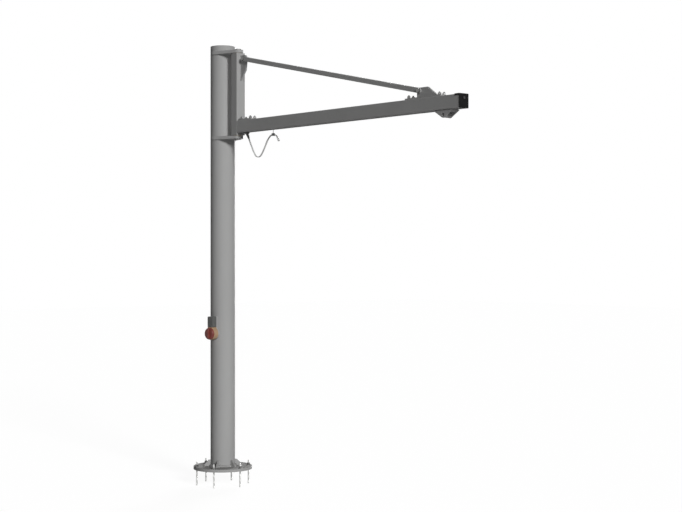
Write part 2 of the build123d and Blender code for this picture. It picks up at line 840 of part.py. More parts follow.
trolley_axle_reach = wheel_inset + trolley_wheel_width + axle_play
trolley_half = trolley_web / 2
export(axle_pair(axle_places, trolley_axle_level, trolley_axle_diameter, trolley_axle_reach), "trolley_axles")
export(
    wheel_pair(axle_places[0], trolley_axle_level, trolley_wheel_diameter, trolley_wheel_width,
               trolley_axle_diameter, trolley_half),
    "rear_wheels",
)
export(
    wheel_pair(axle_places[1], trolley_axle_level, trolley_wheel_diameter, trolley_wheel_width,
               trolley_axle_diameter, trolley_half),
    "front_wheels",
)

# Cable trolley: a frame in the track whose thin stem holds a clamp with an arched saddle for the cable
cable_crest = (cable_route[10][1] + cable_route[11][1]) / 2
saddle_arch = arch_radius
clamp_arch = arch_radius + cable_thickness + 2 * cable_gap
arch_level = cable_crest - cable_thickness / 2 - cable_gap - arch_radius
clamp_top = arch_level + clamp_arch + clamp_height
saddle_bottom = arch_level + saddle_arch - saddle_height
cable_axle_places = [cable_place - cable_axle_half, cable_place + cable_axle_half]
frame_top = cable_axle_level + cable_frame_rise
screw_ends = [(cable_place, saddle_screw_gauge / 2), (cable_place, -saddle_screw_gauge / 2)]
with BuildPart() as cable_trolley_frame:
    with BuildSketch(Plane.XY.offset(saddle_bottom)):
        with Locations((cable_place, 0)):
            Circle(clamp_diameter / 2)
    extrude(amount=clamp_top - saddle_bottom)
    with BuildSketch(Plane.XZ):
        with Locations((cable_place, arch_level)):
            Circle(clamp_arch)
    extrude(amount=clamp_diameter, both=True, mode=Mode.SUBTRACT)
    with BuildSketch(Plane.XZ):
        with Locations((cable_place, (track_floor + frame_top + wheel_gap) / 2)):
            RectangleRounded(2 * cable_frame_half, frame_top - track_floor - wheel_gap, cable_frame_round)
        for cable_axle_place in cable_axle_places:
            with Locations((cable_axle_place, cable_axle_level)):
                Circle(cable_axle_diameter / 2 + seat_clearance, mode=Mode.SUBTRACT)
    extrude(amount=cable_frame_thickness / 2, both=True)
    with BuildSketch(Plane.XY.offset(clamp_top)):
        with Locations((cable_place, 0)):
            Circle(cable_stem / 2)
    extrude(amount=cable_axle_level - clamp_top)
    with BuildSketch(Plane.XY.offset(arch_level)):
        with Locations(*screw_ends):
            Circle(saddle_screw_diameter / 2 + seat_clearance)
    extrude(amount=clamp_arch + saddle_screw_grip, mode=Mode.SUBTRACT)
export(cable_trolley_frame, "cable_trolley_frame")

with BuildPart() as cable_saddle:
    with BuildSketch(Plane.XY.offset(saddle_bottom)):
        with Locations((cable_place, 0)):
            Circle(clamp_diameter / 2)
    extrude(amount=saddle_height)
    with BuildSketch(Plane.XZ):
        with Locations((cable_place, arch_level)):
            Circle(saddle_arch)
    extrude(amount=clamp_diameter, both=True, mode=Mode.INTERSECT)
    with BuildSketch(Plane.XY.offset(saddle_bottom)):
        with Locations(*screw_ends):
            Circle(saddle_screw_diameter / 2 + saddle_screw_clearance)
    extrude(amount=saddle_height, mode=Mode.SUBTRACT)
export(cable_saddle, "cable_saddle")

with BuildPart() as saddle_screws:
    with BuildSketch(Plane.XY.offset(saddle_bottom)):
        with Locations(*screw_ends):
            Circle(saddle_screw_diameter / 2)
    extrude(amount=arch_level + clamp_arch + saddle_screw_grip - saddle_bottom)
    with BuildSketch(Plane.XY.offset(saddle_bottom)):
        with Locations(*screw_ends):
            Circle(saddle_screw_head / 2)
    extrude(amount=-saddle_screw_head_height)
export(saddle_screws, "saddle_screws")

cable_axle_reach = wheel_inset + cable_wheel_width + axle_play
cable_half = cable_frame_thickness / 2
export(axle_pair(cable_axle_places, cable_axle_level, cable_axle_diameter, cable_axle_reach), "cable_axles")
export(
    wheel_pair(cable_axle_places[0], cable_axle_level, cable_wheel_diameter, cable_wheel_width,
               cable_axle_diameter, cable_half),
    "cable_rear_wheels",
)
export(
    wheel_pair(cable_axle_places[1], cable_axle_level, cable_wheel_diameter, cable_wheel_width,
               cable_axle_diameter, cable_half),
    "cable_front_wheels",
)

# Festoon cable: straight runs joined by arcs, from the gland to the connector
cable_points = [Vector(x, 0, z) for x, z in cable_route]
cable_runs = [after - before for before, after in zip(cable_points, cable_points[1:])]
cable_radii = []
for first_run, next_run in zip(cable_runs, cable_runs[1:]):
    half_turn = math.radians(first_run.get_angle(next_run)) / 2
    cable_radii.append(cable_arc_share * min(first_run.length, next_run.length) / math.tan(half_turn))
cable_heading = cable_runs[0].normalized()
tail_heading = cable_runs[-1].normalized()
with BuildPart() as festoon_cable:
    with BuildLine() as cable_path:
        FilletPolyline(*cable_points, radius=cable_radii)
    with BuildSketch(Plane(origin=cable_points[0], x_dir=(0, 1, 0), z_dir=cable_heading)) as cable_section:
        SlotOverall(cable_width, cable_thickness)
    sweep()
export(festoon_cable, "festoon_cable")
cable_length = cable_path.wire().length
print("cable bend radii", [round(r, 1) for r in cable_radii], "length", round(cable_length, 1))
swept_volume = cable_section.sketch.area * cable_length
print("cable volume", festoon_cable.part.volume, "section times length", swept_volume)

# Cable gland: a foot under the track and a narrow nose, with a collar that the cable leaves by
collar_place = cable_points[0] - cable_heading * gland_collar
face_along = Vector(-cable_heading.Z, 0, cable_heading.X)
face_low = collar_place - face_along * (gland_face / 2)
face_high = collar_place + face_along * (gland_face / 2)
gland_rear = collar_place.X - gland_back
gland_middle = gland_rear + gland_screw_inset
with BuildPart() as cable_gland:
    with BuildSketch(Plane.XY.offset(beam_bottom - gland_foot)):
        with Locations(((gland_rear + face_high.X) / 2, 0)):
            RectangleRounded(face_high.X - gland_rear, gland_width, gland_round)
    extrude(amount=gland_foot)
    with BuildSketch(Plane.XZ):
        with BuildLine():
            Polyline(
                (face_low.X - gland_heel, beam_bottom - gland_foot),
                (face_low.X - gland_heel, face_low.Z),
                (face_low.X, face_low.Z),
                (face_high.X, face_high.Z),
                (face_high.X, beam_bottom - gland_foot),
                close=True,
            )
        make_face()
    extrude(amount=gland_nose / 2, both=True)
    with BuildSketch(Plane(origin=collar_place, x_dir=(0, 1, 0), z_dir=cable_heading)):
        SlotOverall(cable_width + 2 * gland_collar_wall, cable_thickness + 2 * gland_collar_wall)
    extrude(amount=gland_collar)
    with BuildSketch(Plane.XY.offset(beam_bottom - gland_foot)):
        with Locations((gland_middle, 0)):
            Circle(gland_screw_diameter / 2 + screw_clearance)
    extrude(amount=gland_foot, mode=Mode.SUBTRACT)
export(cable_gland, "cable_gland")

with BuildPart() as gland_plate:
    with BuildSketch(Plane.XY.offset(track_floor)):
        with Locations((gland_middle, 0)):
            Rectangle(gland_plate_size, gland_plate_size)
            Circle(gland_screw_diameter / 2 + seat_clearance, mode=Mode.SUBTRACT)
    extrude(amount=gland_plate_thickness)
export(gland_plate, "gland_plate")

with BuildPart() as gland_screw:
    with BuildSketch(Plane.XY.offset(beam_bottom - gland_foot)):
        with Locations((gland_middle, 0)):
            Circle(gland_screw_diameter / 2)
    extrude(amount=track_floor + gland_plate_thickness + bolt_tail - beam_bottom + gland_foot)
    with BuildSketch(Plane.XY.offset(beam_bottom - gland_foot)):
        with Locations((gland_middle, 0)):
            RegularPolygon(gland_screw_flats / 2, 6, major_radius=False)
    extrude(amount=-gland_screw_head)
export(gland_screw, "gland_screw")

# Cable connector: a round socket housing on the cable's tail
with BuildPart() as cable_connector:
    tail = Plane(origin=cable_points[-1], x_dir=(0, 1, 0), z_dir=tail_heading)
    with BuildSketch(tail):
        Circle(connector_diameter / 2)
    extrude(amount=connector_length)
    fillet(cable_connector.edges().filter_by(GeomType.CIRCLE).sort_by(Axis.Z).last, connector_diameter / 6)
    with BuildSketch(tail.offset(connector_length - 2 * connector_ring)):
        Circle(connector_diameter / 2 + connector_ring / 2)
    extrude(amount=connector_ring)
    with BuildSketch(tail.offset(connector_length)):
        Circle(connector_socket / 2)
    extrude(amount=-connector_socket_depth, mode=Mode.SUBTRACT)
export(cable_connector, "cable_connector")

# Main switch, drawn on planes that stand square to the column's side
switch_turn = math.radians(switch_angle)
switch_out = Vector(math.cos(switch_turn), math.sin(switch_turn), 0)
switch_along = Vector(-math.sin(switch_turn), math.cos(switch_turn), 0)


def switch_plane(stand_off):
    """A plane square to the column's side, at a distance from its surface."""
    return Plane(
        origin=switch_out * (column_radius + stand_off) + Vector(0, 0, switch_height),
        x_dir=switch_along,
        z_dir=switch_out,
    )


switch_face = switch_stand + switch_depth
handle_base = switch_face + handle_gap
housing_radius = housing_diameter / 2
housing_top = housing_radius + housing_neck
terminal_rise = housing_top + terminal_length / 2
screw_sink = screw_head_height + handle_gap
terminal_gauge = (terminal_width - 2 * screw_inset, terminal_length - 2 * screw_inset)
housing_screws = [place.position for place in GridLocations(housing_screw_gauge, housing_screw_gauge, 2, 2)]
terminal_screws = [
    place.position + Vector(0, terminal_rise)
    for place in GridLocations(*terminal_gauge, 2, 2)
]

# Mounting plate behind the switch, hollowed to sit on the column
with BuildPart() as switch_saddle:
    with BuildSketch(switch_plane(switch_stand)):
        Circle(housing_radius)
        with Locations((0, (housing_top + terminal_length) / 2)):
            Rectangle(terminal_width, housing_top + terminal_length)
    extrude(amount=-2 * switch_stand)
    with BuildSketch(Plane.XY.offset(switch_height - housing_diameter)):
        Circle(column_radius + seat_clearance)
    extrude(amount=2 * (housing_diameter + terminal_length), mode=Mode.SUBTRACT)
    with BuildSketch(switch_plane(switch_stand)):
        with Locations(*housing_screws, *terminal_screws):
            Circle(screw_diameter / 2 + seat_clearance)
    extrude(amount=-screw_grip, mode=Mode.SUBTRACT)
export(switch_saddle, "switch_saddle")

# Housing: a round moulded shell with a neck to the terminal box, open at the back, its screws sunk in bosses
with BuildPart() as switch_cover:
    with BuildSketch(switch_plane(switch_stand)):
        Circle(housing_radius)
        with Locations((0, housing_top / 2)):
            Rectangle(terminal_width, housing_top)
    extrude(amount=switch_depth)
    cover_front = switch_cover.faces().sort_by(lambda f: f.center().dot(switch_out)).last
    fillet(cover_front.edges(), switch_rim)
    with BuildSketch(switch_plane(switch_stand)):
        Circle(housing_radius - switch_wall)
        with Locations((0, (housing_top - switch_wall) / 2)):
            Rectangle(terminal_width - 2 * switch_wall, housing_top - switch_wall)
        with Locations(*housing_screws):
            Circle(screw_boss / 2, mode=Mode.SUBTRACT)
    extrude(amount=switch_depth - switch_wall, mode=Mode.SUBTRACT)
    with BuildSketch(switch_plane(switch_stand)):
        with Locations(*housing_screws):
            Circle(screw_diameter / 2 + screw_clearance)
        Circle(spindle_diameter / 2 + spindle_clearance)
    extrude(amount=switch_depth, mode=Mode.SUBTRACT)
    with BuildSketch(switch_plane(switch_face - screw_sink)):
        with Locations(*housing_screws):
            Circle(screw_head / 2 + screw_clearance)
    extrude(amount=screw_sink, mode=Mode.SUBTRACT)
export(switch_cover, "switch_cover")

# Terminal box: a tray with four bosses, and its lid
with BuildPart() as switch_box:
    with BuildSketch(switch_plane(switch_stand)):
        with Locations((0, terminal_rise)):
            RectangleRounded(terminal_width, terminal_length, switch_corner)
    extrude(amount=switch_depth - terminal_lid)
    with BuildSketch(switch_plane(switch_stand + switch_wall)):
        with Locations((0, terminal_rise)):
            RectangleRounded(
                terminal_width - 2 * switch_wall,
                terminal_length - 2 * switch_wall,
                switch_corner - switch_wall,
            )
            with GridLocations(*terminal_gauge, 2, 2):
                Circle(screw_boss / 2, mode=Mode.SUBTRACT)
    extrude(amount=switch_depth, mode=Mode.SUBTRACT)
    with BuildSketch(switch_plane(switch_stand)):
        with Locations((0, terminal_rise)):
            with GridLocations(*terminal_gauge, 2, 2):
                Circle(screw_diameter / 2 + screw_clearance)
    extrude(amount=switch_depth, mode=Mode.SUBTRACT)
export(switch_box, "switch_box")

with BuildPart() as switch_plate:
    with BuildSketch(switch_plane(switch_face - terminal_lid)):
        with Locations((0, terminal_rise)):
            RectangleRounded(terminal_width, terminal_length, switch_corner)
            with GridLocations(*terminal_gauge, 2, 2):
                Circle(screw_diameter / 2 + screw_clearance, mode=Mode.SUBTRACT)
    extrude(amount=terminal_lid)
    lid_front = switch_plate.faces().sort_by(lambda f: f.center().dot(switch_out)).last
    fillet(lid_front.outer_wire().edges(), switch_rim)
export(switch_plate, "switch_plate")

with BuildPart() as switch_screws:
    for screw_places, head_level in (
        (housing_screws, switch_face - screw_sink),
        (terminal_screws, switch_face),
    ):
        with BuildSketch(switch_plane(switch_stand - screw_grip)):
            with Locations(*screw_places):
                Circle(screw_diameter / 2)
        extrude(amount=head_level - switch_stand + screw_grip)
        with BuildSketch(switch_plane(head_level)):
            with Locations(*screw_places):
                Circle(screw_head / 2)
        extrude(amount=screw_head_height)
export(switch_screws, "switch_screws")

# Switch block behind the housing's front, with the spindle that carries the handle
with BuildPart() as switch_block:
    with BuildSketch(switch_plane(switch_face - switch_wall)):
        Rectangle(block_size, block_size)
        Circle(spindle_diameter / 2 + spindle_clearance, mode=Mode.SUBTRACT)
    extrude(amount=-block_depth)
export(switch_block, "switch_block")

with BuildPart() as switch_spindle:
    with BuildSketch(switch_plane(handle_base + rosette_height)):
        Circle(spindle_diameter / 2)
    extrude(amount=-rosette_height - handle_gap - switch_wall - spindle_grip)
export(switch_spindle, "switch_spindle")

# Handle: a round rosette with a grip across it
with BuildPart() as switch_handle:
    with BuildSketch(switch_plane(handle_base)):
        Circle(rosette_diameter / 2)
    extrude(amount=rosette_height)
    rosette_front = switch_handle.faces().sort_by(lambda f: f.center().dot(switch_out)).last
    fillet(rosette_front.edges(), rosette_round)
    with BuildSketch(switch_plane(handle_base)):
        RectangleRounded(grip_width, grip_length, grip_round)
    extrude(amount=rosette_height + grip_height)
    grip_front = switch_handle.faces().sort_by(lambda f: f.center().dot(switch_out)).last
    fillet(grip_front.edges(), grip_round / 2)
    with BuildSketch(switch_plane(handle_base)):
        Circle(spindle_diameter / 2 + seat_clearance)
    extrude(amount=rosette_height, mode=Mode.SUBTRACT)
export(switch_handle, "switch_handle")
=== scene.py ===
import json
import math

import bmesh
import bpy
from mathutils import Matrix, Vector


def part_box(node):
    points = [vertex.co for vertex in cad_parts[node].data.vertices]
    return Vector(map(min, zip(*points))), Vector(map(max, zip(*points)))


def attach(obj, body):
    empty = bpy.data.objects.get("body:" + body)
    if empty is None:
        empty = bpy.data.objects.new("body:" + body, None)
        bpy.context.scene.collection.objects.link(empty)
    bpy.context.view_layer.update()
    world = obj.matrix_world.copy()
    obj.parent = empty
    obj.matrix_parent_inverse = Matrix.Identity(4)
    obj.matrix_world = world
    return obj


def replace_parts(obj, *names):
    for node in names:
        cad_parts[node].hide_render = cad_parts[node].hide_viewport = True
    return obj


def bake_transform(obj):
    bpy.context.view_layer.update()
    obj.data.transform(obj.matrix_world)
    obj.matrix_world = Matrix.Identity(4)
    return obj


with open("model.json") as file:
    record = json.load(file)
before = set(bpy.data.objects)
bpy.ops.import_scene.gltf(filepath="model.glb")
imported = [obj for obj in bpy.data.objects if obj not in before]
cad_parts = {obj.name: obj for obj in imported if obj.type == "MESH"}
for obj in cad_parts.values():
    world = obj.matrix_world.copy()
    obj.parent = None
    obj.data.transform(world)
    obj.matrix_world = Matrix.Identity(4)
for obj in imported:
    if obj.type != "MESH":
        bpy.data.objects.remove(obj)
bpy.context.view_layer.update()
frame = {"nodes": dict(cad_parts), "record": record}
nodes = frame["nodes"]
scene = bpy.context.scene

# Places on the crane, in metres, read from the frame
PLATE_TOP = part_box("base_plate")[1].z
PLATE_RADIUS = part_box("base_plate")[1].x
COLUMN_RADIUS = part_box("column_cap")[1].x
RIB_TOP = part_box("foot_ribs")[1].z
STUD_LOW, STUD_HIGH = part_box("anchor_studs")
MAST_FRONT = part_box("mast")[1].x
BEAM_LOW, BEAM_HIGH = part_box("beam")
STRAP_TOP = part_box("root_plate")[1].z
TIE_LUG_LOW, TIE_LUG_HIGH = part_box("tie_lug")

# Sizes of the fasteners in metres and their turns in degrees. All have one thread but for the tie bolts
STUD_EDGE = 0.020
STUD_CIRCLE = PLATE_RADIUS - STUD_EDGE
STUD_COUNT = 6
STUD_TURN = 5.0
STUD_RADIUS = 0.006
STUD_PITCH = 0.00175
NUT_FLATS = 0.018
NUT_HEIGHT = 0.0108
NUT_TURN = 17.0
WASHER = 0.0025
FLANGE_RADIUS = 0.012
FLANGE_EDGE = WASHER / 2
BOLT_GAUGE = 0.018
BOLT_TURN = 23.0
BOLT_SIDE_TURN = 7.2
TIE_FLATS = 0.024
TIE_HEAD = 0.010
TIE_RADIUS = 0.008
TIE_PITCH = 0.002

# Shares of a fastener's size: a hexagon's end face, and a thread's depth, pointed end and tip
HEXAGON_FACE = 0.96
THREAD_DEPTH = 0.13
THREAD_POINT = 0.35
THREAD_TIP = 0.62

# Ripples of a weld: its pitch in metres, rings to a ripple, its height and the size of the ends as shares
RIPPLE_PITCH = 0.0042
RIPPLE_RINGS = 4
RIPPLE_HEIGHT = 0.14
RIPPLE_WANDER = 0.35
RIPPLE_DRIFT = 0.37
BEAD_END = 0.35

# Radii of the weld beads
FOOT_BEAD = 0.0048
RIB_BEAD = 0.0026
LUG_BEAD = 0.0042
PLATE_BEAD = 0.0030
BEAM_BEAD = 0.0032

# How far the weld beads lie from the edges that they follow, and where they start and end
FOOT_NEAR = 0.0036
FOOT_FAR = 0.0082
FOOT_STEP = 3.0
FOOT_STEPS = 119
RIB_REACH = 0.045
RIB_SIDE = 0.0052
RIB_LIFT = 0.0005
RIB_START = 0.017
RIB_STOP = 0.001
LUG_PROUD = 0.0008
LUG_SPREAD = 88.0
SEAM_PROUD = 0.0005
TIE_PLATE_SIDE = 0.0065
TIE_LUG_INSET = 0.004
GUSSET_BEHIND = 0.022
GUSSET_AHEAD = 0.138
BEAM_EDGE = 0.0025
BEAM_LOW_INSET = 0.003
BEAM_HIGH_INSET = 0.002
STRAP_HALF = 0.026

# Camera: level, at the photograph's viewing angle. Its focal length is in pixels of the photograph
IMAGE_WIDTH = 682.0
FOCAL_PIXELS = 1420.0
SENSOR_WIDTH = 36.0
CAMERA_PLACE = (7.965, -5.690, 1.458)
CAMERA_HEADING = Vector((-0.7627, 0.6468, 0.0))
camera_data = bpy.data.cameras.new("photo_camera")
camera_data.sensor_width = SENSOR_WIDTH
camera_data.lens = FOCAL_PIXELS / IMAGE_WIDTH * SENSOR_WIDTH
camera = bpy.data.objects.new("photo_camera", camera_data)
camera.location = CAMERA_PLACE
camera.rotation_euler = CAMERA_HEADING.to_track_quat("-Z", "Y").to_euler()
scene.collection.objects.link(camera)
scene.camera = camera
scene.view_settings.view_transform = "Standard"


def add_node(tree, kind, **inputs):
    """A new shader node with some sockets set. An underscore stands for a space in a socket's name."""
    node = tree.nodes.new(kind)
    for key, value in inputs.items():
        node.inputs[key.replace("_", " ")].default_value = value
    return node


def seen_by_eye(tree):
    """1 for camera, glossy and transmission rays, 0 for the rays that carry diffuse light."""
    path = tree.nodes.new("ShaderNodeLightPath")
    factor = path.outputs["Is Camera Ray"]
    for other in ("Is Glossy Ray", "Is Transmission Ray"):
        larger = tree.nodes.new("ShaderNodeMath")
        larger.operation = "MAXIMUM"
        tree.links.new(factor, larger.inputs[0])
        tree.links.new(path.outputs[other], larger.inputs[1])
        factor = larger.outputs[0]
    return factor


def pick(tree, unseen, seen):
    """One shader for the rays that carry diffuse light, another where the surface is looked at."""
    mixed = tree.nodes.new("ShaderNodeMixShader")
    tree.links.new(seen_by_eye(tree), mixed.inputs[0])
    tree.links.new(unseen.outputs[0], mixed.inputs[1])
    tree.links.new(seen.outputs[0], mixed.inputs[2])
    return mixed


# World: white where it is seen, dim where it lights
WHITE = (1.0, 1.0, 1.0, 1.0)
world = bpy.data.worlds.new("studio")
scene.world = world
world.use_nodes = True
tree = world.node_tree
tree.nodes.clear()
dim = add_node(tree, "ShaderNodeBackground", Color=WHITE, Strength=0.01)
white = add_node(tree, "ShaderNodeBackground", Color=WHITE, Strength=1.0)
output = tree.nodes.new("ShaderNodeOutputWorld")
tree.links.new(pick(tree, dim, white).outputs[0], output.inputs[0])


def sun(name, azimuth, elevation, strength, angle):
    """A soft lamp that shines from a direction given in degrees."""
    data = bpy.data.lights.new(name, "SUN")
    data.energy = strength
    data.angle = math.radians(angle)
    lamp = bpy.data.objects.new(name, data)
    a = math.radians(azimuth)
    e = math.radians(elevation)
    towards = Vector((math.cos(a) * math.cos(e), math.sin(a) * math.cos(e), math.sin(e)))
    lamp.rotation_euler = towards.to_track_quat("Z", "Y").to_euler()
    scene.collection.objects.link(lamp)


sun("key", azimuth=-13.0, elevation=20.0, strength=2.4, angle=13.0)
sun("front", azimuth=-45.0, elevation=6.0, strength=0.2, angle=30.0)
sun("fill", azimuth=122.0, elevation=12.0, strength=3.2, angle=30.0)


# Materials. A noise lies mostly between these two values
NOISE_LOW = 0.3
NOISE_HIGH = 0.7
# Height in metres below which the paint darkens: partly dust, partly painted shade on the foot
DUST_AND_SHADE_HEIGHT = 0.25


def ramp(tree, factor, low, high):
    """A colour between two, by a noise's middle range."""
    node = tree.nodes.new("ShaderNodeValToRGB")
    node.color_ramp.elements[0].position = NOISE_LOW
    node.color_ramp.elements[1].position = NOISE_HIGH
    node.color_ramp.elements[0].color = (*low, 1.0)
    node.color_ramp.elements[1].color = (*high, 1.0)
    tree.links.new(factor, node.inputs[0])
    return node.outputs[0]


def noise(tree, where, scale, detail=3.0, rough=0.5, stretch=(1.0, 1.0, 1.0)):
    """Noise in the object's own coordinates, its scale in features for each metre."""
    mapping = tree.nodes.new("ShaderNodeMapping")
    mapping.inputs["Scale"].default_value = stretch
    tree.links.new(where, mapping.inputs["Vector"])
    node = add_node(tree, "ShaderNodeTexNoise", Scale=scale, Detail=detail, Roughness=rough)
    tree.links.new(mapping.outputs[0], node.inputs["Vector"])
    return node.outputs[0]


def span(tree, factor, start, end, low, high):
    """A factor's range brought to another range."""
    node = add_node(tree, "ShaderNodeMapRange", From_Min=start, From_Max=end, To_Min=low, To_Max=high)
    tree.links.new(factor, node.inputs["Value"])
    return node.outputs[0]


def dusted_and_shaded(tree, where, colour, dust_and_shade):
    """A colour that darkens in patches towards the floor, most of all on what faces up: partly dust, partly
    painted shade.
    """
    split = tree.nodes.new("ShaderNodeSeparateXYZ")
    tree.links.new(where, split.inputs[0])
    facing = tree.nodes.new("ShaderNodeSeparateXYZ")
    tree.links.new(tree.nodes.new("ShaderNodeNewGeometry").outputs["Normal"], facing.inputs[0])
    patches = noise(tree, where, scale=60.0, detail=5.0, rough=0.65)
    amount = span(tree, patches, NOISE_LOW, NOISE_HIGH, low=0.5, high=1.0)
    # Upward faces darken most: painted shade on the foot's tops as well as dust
    up_facing_dust_and_shade = span(tree, facing.outputs["Z"], start=0.2, end=0.9, low=0.12, high=0.95)
    near_floor = span(tree, split.outputs["Z"], start=0.0, end=DUST_AND_SHADE_HEIGHT, low=1.0, high=0.0)
    for share in (up_facing_dust_and_shade, near_floor):
        product = tree.nodes.new("ShaderNodeMath")
        product.operation = "MULTIPLY"
        tree.links.new(amount, product.inputs[0])
        tree.links.new(share, product.inputs[1])
        amount = product.outputs[0]
    mix = tree.nodes.new("ShaderNodeMix")
    mix.data_type = "RGBA"
    mix.inputs["B"].default_value = (*dust_and_shade, 1.0)
    tree.links.new(amount, mix.inputs["Factor"])
    tree.links.new(colour, mix.inputs["A"])
    return mix.outputs["Result"]


def finish(name, low, high, rough, metal=0.0, level=0.5, patch=9.0, grain=900.0, bump=0.08,
           stretch=(1.0, 1.0, 1.0), dust_and_shade=None):
    """A surface with a little colour drift, uneven gloss and a fine grain, and if given a darkening towards
    the floor that is partly dust, partly painted shade.
    """
    made = bpy.data.materials.new(name)
    made.use_nodes = True
    tree = made.node_tree
    shader = tree.nodes["Principled BSDF"]
    shader.inputs["Metallic"].default_value = metal
    shader.inputs["Specular IOR Level"].default_value = level
    where = tree.nodes.new("ShaderNodeTexCoord").outputs["Object"]
    drift = noise(tree, where, patch, detail=6.0, rough=0.6, stretch=stretch)
    colour = ramp(tree, drift, low, high)
    if dust_and_shade is not None:
        colour = dusted_and_shaded(tree, where, colour, dust_and_shade)
    tree.links.new(colour, shader.inputs["Base Color"])
    worn = noise(tree, where, patch * 4.0, detail=4.0)
    gloss = span(tree, worn, NOISE_LOW, NOISE_HIGH, low=rough[0], high=rough[1])
    tree.links.new(gloss, shader.inputs["Roughness"])
    relief = add_node(tree, "ShaderNodeBump", Strength=bump, Distance=0.0002)
    fine = noise(tree, where, grain, detail=2.0, stretch=stretch)
    tree.links.new(fine, relief.inputs["Height"])
    tree.links.new(relief.outputs[0], shader.inputs["Normal"])
    return made


looks = {
    # The paint's darkening towards the floor is partly dust, partly painted shade on the base plate's top
    "paint": finish(
        "grey_paint", low=(0.375, 0.375, 0.372), high=(0.415, 0.415, 0.412), rough=(0.52, 0.64),
        level=0.03, patch=4.0, stretch=(1.0, 1.0, 0.35), dust_and_shade=(0.24, 0.237, 0.23)),
    "steel": finish(
        "zinc_steel", low=(0.15, 0.15, 0.147), high=(0.21, 0.21, 0.206), rough=(0.42, 0.58),
        metal=1.0, patch=120.0, grain=1500.0, bump=0.05),
    "stud": finish(
        "bright_zinc", low=(0.54, 0.54, 0.53), high=(0.66, 0.66, 0.65), rough=(0.34, 0.48),
        metal=1.0, patch=120.0, grain=1500.0, bump=0.05),
    "bolt": finish(
        "black_oxide_steel", low=(0.050, 0.050, 0.052), high=(0.085, 0.085, 0.086), rough=(0.38, 0.52),
        metal=0.9, patch=140.0, grain=1500.0, bump=0.06),
    "bronze": finish(
        "bearing_bronze", low=(0.30, 0.24, 0.12), high=(0.40, 0.32, 0.16), rough=(0.40, 0.54),
        metal=1.0, patch=90.0),
    "black_plastic": finish(
        "black_plastic", low=(0.006, 0.006, 0.006), high=(0.010, 0.010, 0.010), rough=(0.60, 0.72),
        level=0.08, patch=30.0, grain=1800.0, bump=0.25),
    "rubber": finish(
        "rubber", low=(0.012, 0.012, 0.012), high=(0.022, 0.022, 0.021), rough=(0.75, 0.88),
        level=0.2, patch=40.0, grain=1200.0, bump=0.2),
    "cable": finish(
        "cable_sheath", low=(0.50, 0.50, 0.495), high=(0.58, 0.58, 0.57), rough=(0.50, 0.62),
        level=0.3, patch=60.0, grain=2200.0, bump=0.12),
    "socket": finish(
        "socket_plastic", low=(0.66, 0.66, 0.65), high=(0.74, 0.74, 0.73), rough=(0.42, 0.55),
        level=0.35, patch=80.0, grain=2000.0, bump=0.15),
    "wheel": finish(
        "nylon", low=(0.62, 0.61, 0.57), high=(0.72, 0.71, 0.67), rough=(0.38, 0.50),
        patch=70.0, grain=1400.0),
    "enclosure": finish(
        "grey_housing", low=(0.085, 0.088, 0.085), high=(0.115, 0.118, 0.114), rough=(0.45, 0.56),
        level=0.3, patch=50.0, grain=2000.0, bump=0.2),
    "yellow": finish(
        "yellow_housing", low=(0.37, 0.245, 0.145), high=(0.425, 0.28, 0.165), rough=(0.38, 0.48),
        level=0.4, patch=50.0, grain=2000.0, bump=0.12),
    "red": finish(
        "red_handle", low=(0.165, 0.030, 0.022), high=(0.215, 0.042, 0.030), rough=(0.34, 0.44),
        level=0.4, patch=60.0, grain=2000.0, bump=0.1),
}
own_look = {
    "cap_screw": "bolt",
    "cable_gland": "enclosure",
    "cable_trolley_frame": "enclosure",
    "cable_saddle": "enclosure",
}
for entry in frame["record"]["subparts"]:
    surface = nodes[entry["node"]].data
    surface.materials.clear()
    surface.materials.append(looks[own_look.get(entry["node"], entry["material_slot"])])


# Mesh helpers
def piece(name, mesh, body, slot, look=None, smooth=True):
    """A finished mesh as a piece that rides on a body, with a slot's finish or a look of its own."""
    bmesh.ops.recalc_face_normals(mesh, faces=mesh.faces)
    data = bpy.data.meshes.new(name)
    mesh.to_mesh(data)
    mesh.free()
    for polygon in data.polygons:
        polygon.use_smooth = smooth
    data.materials.append(looks[look or slot])
    made = bpy.data.objects.new(name, data)
    scene.collection.objects.link(made)
    if body is not None:
        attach(made, body)
    return made


def skin(mesh, rings, loop=False):
    """Faces between successive rings of points. The ends are closed, or in a loop they meet."""
    made = [[mesh.verts.new(point) for point in ring] for ring in rings]
    count = len(made[0])
    pairs = list(zip(made, made[1:]))
    if loop:
        pairs.append((made[-1], made[0]))
    else:
        mesh.faces.new(made[0])
        mesh.faces.new(made[-1])
    for lower, upper in pairs:
        for i in range(count):
            j = (i + 1) % count
            mesh.faces.new((lower[i], lower[j], upper[j], upper[i]))


def turns(count):
    """Angles of points spread evenly round a circle."""
    return [2 * math.pi * i / count for i in range(count)]


def upright(x, y, level, turn=0.0):
    """A place for a fastener that stands on a level, turned by an angle in degrees."""
    c = math.cos(math.radians(turn))
    s = math.sin(math.radians(turn))
    return lambda u, v, w: Vector((x + u * c - v * s, y + u * s + v * c, level + w))


def crosswise(x, y, z, side):
    """A place for a fastener that lies across the jib and points to -Y or +Y."""
    return lambda u, v, w: Vector((x + u, y + side * w, z + v))


def ring(place, radius, level, steps=36):
    """A ring of points, whose radius and level are numbers or functions of the angle."""
    points = []
    for a in turns(steps):
        r = radius(a) if callable(radius) else radius
        w = level(a) if callable(level) else level
        points.append(place(r * math.cos(a), r * math.sin(a), w))
    return points


def hexagon(place, base, height, flats):
    """Rings of a hexagon from its base to its top, its corners turned down to a cone at both ends."""
    face = flats / 2 * HEXAGON_FACE

    def outer(a):
        return flats / 2 / math.cos((a + math.pi / 6) % (math.pi / 3) - math.pi / 6)

    def cone(a):
        return (outer(a) - face) / math.sqrt(3.0)

    return [
        ring(place, face, base),
        ring(place, outer, lambda a: base + cone(a)),
        ring(place, outer, lambda a: base + height - cone(a)),
        ring(place, face, base + height),
    ]


